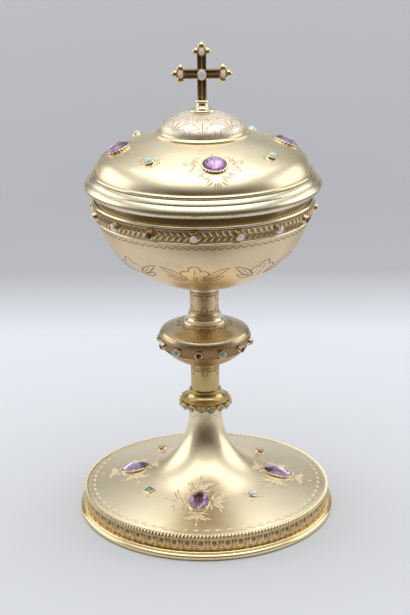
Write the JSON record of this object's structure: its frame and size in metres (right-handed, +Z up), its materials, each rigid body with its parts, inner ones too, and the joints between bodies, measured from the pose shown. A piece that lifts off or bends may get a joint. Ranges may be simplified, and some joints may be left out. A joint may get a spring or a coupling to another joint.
{
  "type": "ciborium",
  "caption": "Covered gilt altar cup on a wide round foot with a jewelled knop and band, and a lift-off domed lid topped by a cross.",
  "frame": {"origin": "centre of the foot's resting ring, on the table", "axes": "+Z up along the stem to the cross; the cross lies across X; the front of the picture looks along +Y"},
  "size_m": [0.14, 0.14, 0.257],
  "materials": {
    "gilt_satin": "fire-gilt silver with a soft satin bloom, engraved with foliage",
    "gilt_polished": "fire-gilt silver, polished bright",
    "gilt_stamped": "fire-gilt silver, stamped or engraved, darker in the hollows",
    "gilt_setting": "fire-gilt silver settings with burnished edges",
    "amethyst": "clear facetted purple stone",
    "garnet": "deep red facetted stone",
    "turquoise": "opaque blue-green cabochon, polished",
    "diamond": "clear colourless facetted stone",
    "emerald": "clear green facetted stone",
    "moonstone": "milky colourless cabochon",
    "citrine": "clear yellow facetted stone",
    "rose_stone": "clear rose facetted stone",
    "fastener_brass": "turned brass, unpolished"
  },
  "bodies": {
    "cup_stand": {"foot_ring": "gilt_polished", "foot_gallery": "gilt_stamped", "foot_leaf_frieze": "gilt_stamped", "foot_milled_wire": "gilt_polished", "foot_shell": "gilt_satin", "foot_collets": "gilt_setting", "foot_amethyst_1": "amethyst", "foot_amethyst_2": "amethyst", "foot_amethyst_3": "amethyst", "foot_amethyst_4": "amethyst", "foot_small_collets": "gilt_setting", "foot_emerald": "emerald", "foot_moonstone": "moonstone", "foot_citrine": "citrine", "foot_rose_stone": "rose_stone", "collar": "gilt_polished", "collar_cups": "gilt_setting", "collar_turquoises": "turquoise", "lower_stem": "gilt_satin", "knop_lower_shell": "gilt_satin", "knop_girdle": "gilt_stamped", "knop_upper_shell": "gilt_satin", "knop_collets": "gilt_setting", "knop_garnets": "garnet", "knop_turquoises": "turquoise", "knop_step_ring": "gilt_polished", "upper_stem": "gilt_satin", "stem_top_ring": "gilt_polished", "cup": "gilt_satin", "cup_band": "gilt_stamped", "band_upper_wire": "gilt_polished", "band_lower_wire": "gilt_polished", "band_collets": "gilt_setting", "band_diamonds": "diamond", "band_garnets": "garnet", "tie_rod": "fastener_brass", "tie_washer": "fastener_brass", "tie_nut": "fastener_brass"},
    "lid": {"lid_rim": "gilt_polished", "lid_bezel": "gilt_polished", "lid_bead": "gilt_polished", "lid_dome": "gilt_satin", "lid_cupola": "gilt_satin", "cupola_ring": "gilt_polished", "lid_collets": "gilt_setting", "lid_amethyst_1": "amethyst", "lid_amethyst_2": "amethyst", "lid_amethyst_3": "amethyst", "lid_amethyst_4": "amethyst", "lid_small_collets": "gilt_setting", "lid_turquoises": "turquoise", "cross_pedestal": "gilt_polished", "cross": "gilt_polished", "cross_collets": "gilt_setting", "cross_diamonds": "diamond", "cross_washer": "fastener_brass", "cross_nut": "fastener_brass"}
  },
  "joints": [
    {"name": "lid_lift", "type": "slide", "parent": "cup_stand", "child": "lid", "axis": [0, 0, 1], "range_m": [0, 0.12]}
  ]
}
